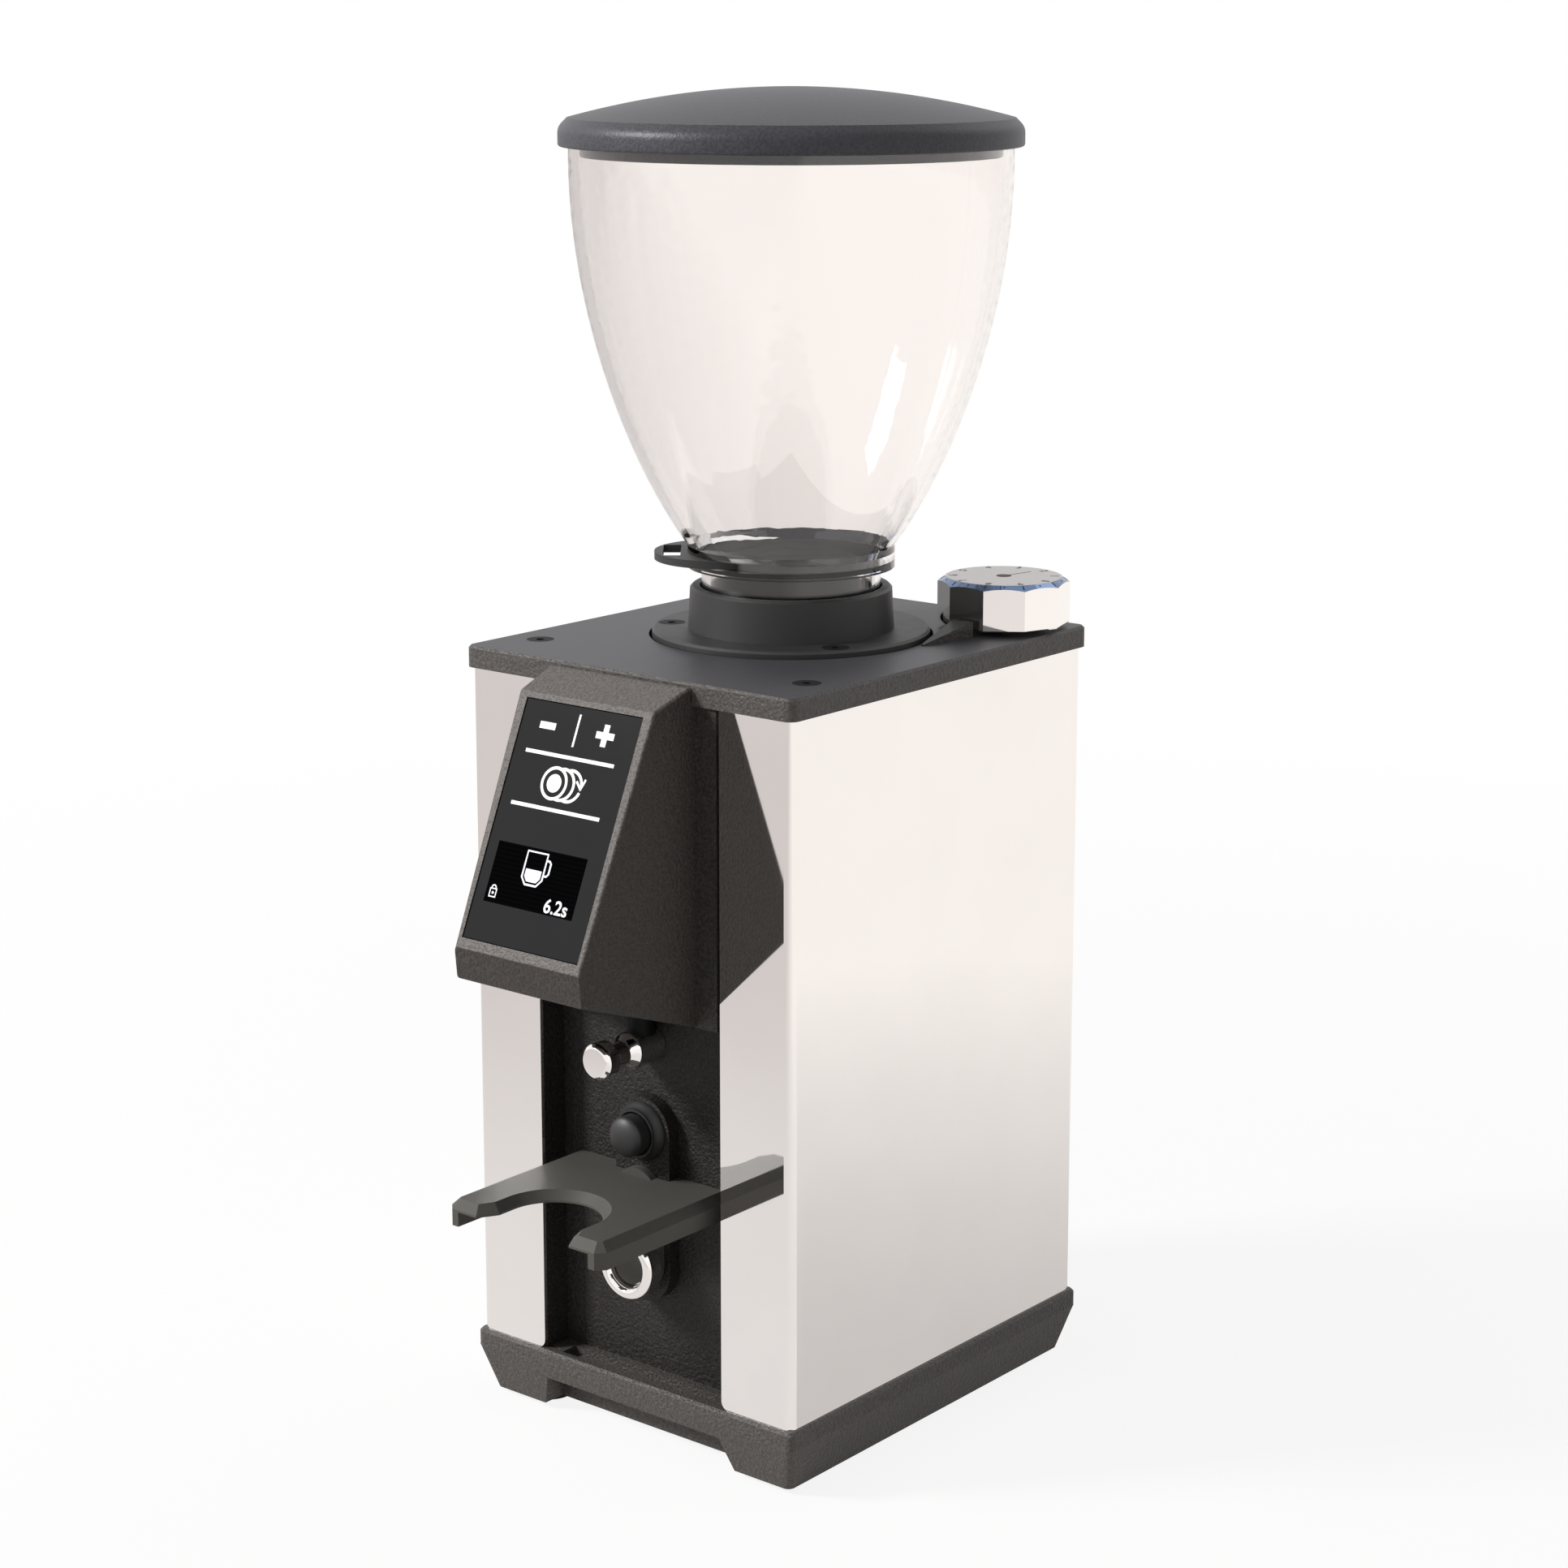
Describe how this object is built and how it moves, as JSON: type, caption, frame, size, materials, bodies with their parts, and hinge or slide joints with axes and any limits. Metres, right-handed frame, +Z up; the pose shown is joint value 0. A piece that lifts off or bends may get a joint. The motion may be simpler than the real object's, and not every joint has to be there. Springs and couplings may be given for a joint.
{
  "type": "burr coffee grinder",
  "caption": "Upright burr coffee grinder with polished case, clear lidded hopper, slanted touch panel head, dial knob and a fork that holds a filter holder",
  "frame": {"origin": "on the floor under the middle of the case, between its sides and between its front and back", "axes": "+Z up, -Y to the front where the head and fork stand out, +X to the right seen from the front"},
  "size_m": [0.1286, 0.1801, 0.3742],
  "materials": {
    "chrome_plate": "mirror polished chrome",
    "grained_plastic": "fine moulded grain",
    "satin_plastic": "satin",
    "clear_plastic": "clear moulded",
    "panel_glass": "black printed glass",
    "circuit_board": "solder mask",
    "anodised_aluminium": "dark satin anodised",
    "cast_aluminium": "as cast",
    "steel": "ground",
    "black_screws": "black oxide",
    "brass": "machined",
    "rubber": "matte"
  },
  "bodies": {
    "body": {"case_wrap": "chrome_plate", "hook_pin": "chrome_plate", "base": "grained_plastic", "front_plate": "grained_plastic", "head_housing": "grained_plastic", "top_plate": "grained_plastic", "rear_panel": "grained_plastic", "guide_rail": "grained_plastic", "collar": "satin_plastic", "button_bezel": "satin_plastic", "chute": "satin_plastic", "start_switch": "satin_plastic", "power_inlet": "satin_plastic", "rocker_frame": "satin_plastic", "capacitor": "satin_plastic", "touch_panel": "panel_glass", "display_board": "circuit_board", "control_board": "circuit_board", "grind_chamber": "cast_aluminium", "motor_lower_bracket": "cast_aluminium", "motor_upper_bracket": "cast_aluminium", "burr_holder": "cast_aluminium", "corner_posts": "steel", "stator_core": "steel", "motor_can": "steel", "bearings": "steel", "upper_burr": "steel", "board_pillars": "steel", "button_spring": "steel", "hook_post": "black_screws", "base_screws": "black_screws", "rear_screws": "black_screws", "top_plate_screws": "black_screws", "collar_screws": "black_screws", "bracket_screws": "black_screws", "spindle_bush": "brass", "windings": "brass", "base_feet": "rubber", "motor_mounts": "rubber", "hopper_seal": "rubber"},
    "hopper_set": {"hopper": "clear_plastic"},
    "lid": {"hopper_lid": "grained_plastic"},
    "gate": {"hopper_gate": "satin_plastic"},
    "dial": {"dial_knob": "chrome_plate", "dial_spindle": "steel", "adjust_pinion": "brass"},
    "ring": {"adjust_ring": "brass"},
    "rotor": {"drive_shaft": "steel", "rotor_core": "steel", "burr_carrier": "cast_aluminium", "lower_burr": "steel", "feed_cone": "steel"},
    "button": {"start_button": "satin_plastic"},
    "fork_set": {"fork": "anodised_aluminium", "clamp_nut": "steel"},
    "lock": {"fork_lock_knob": "chrome_plate", "lock_stud": "steel"},
    "rocker": {"switch_rocker": "satin_plastic"}
  },
  "joints": [
    {"name": "hopper_lift", "type": "slide", "parent": "body", "child": "hopper_set", "axis": [0, 0, 1], "range_m": [0, 0.06]},
    {"name": "lid_lift", "type": "slide", "parent": "hopper_set", "child": "lid", "axis": [0, 0, 1], "range_m": [0, 0.05]},
    {"name": "gate_slide", "type": "slide", "parent": "hopper_set", "child": "gate", "axis": [-0.766, -0.6428, 0], "range_m": [0, 0.038]},
    {"name": "dial_turn", "type": "hinge", "parent": "body", "child": "dial", "pos_m": [0.041, 0.05024, 0.226], "axis": [0, 0, 1], "range_deg": [-180, 180]},
    {"name": "ring_turn", "type": "hinge", "parent": "body", "child": "ring", "pos_m": [0, 0.0044, 0.155], "axis": [0, 0, 1], "range_deg": [-46, 46]},
    {"name": "burr_spin", "type": "hinge", "parent": "body", "child": "rotor", "pos_m": [0, 0.0044, 0.1], "axis": [0, 0, 1], "continuous": true},
    {"name": "start_press", "type": "slide", "parent": "body", "child": "button", "axis": [0, 1, 0], "range_m": [0, 0.0025], "stiffness_N_per_m": 400, "springref_m": -0.001, "deforming": ["button_spring"]},
    {"name": "fork_slide", "type": "slide", "parent": "body", "child": "fork_set", "axis": [0, 0, 1], "range_m": [-0.005, 0.001]},
    {"name": "lock_turn", "type": "hinge", "parent": "fork_set", "child": "lock", "pos_m": [0, -0.0636, 0.0534], "axis": [0, -1, 0], "range_deg": [-90, 90]},
    {"name": "rocker_tip", "type": "hinge", "parent": "body", "child": "rocker", "pos_m": [-0.018, 0.0661, 0.056], "axis": [1, 0, 0], "range_deg": [-8, 8]}
  ],
  "couplings": [
    {"joint": "ring_turn", "follows": "dial_turn", "ratio": -0.2551}
  ]
}
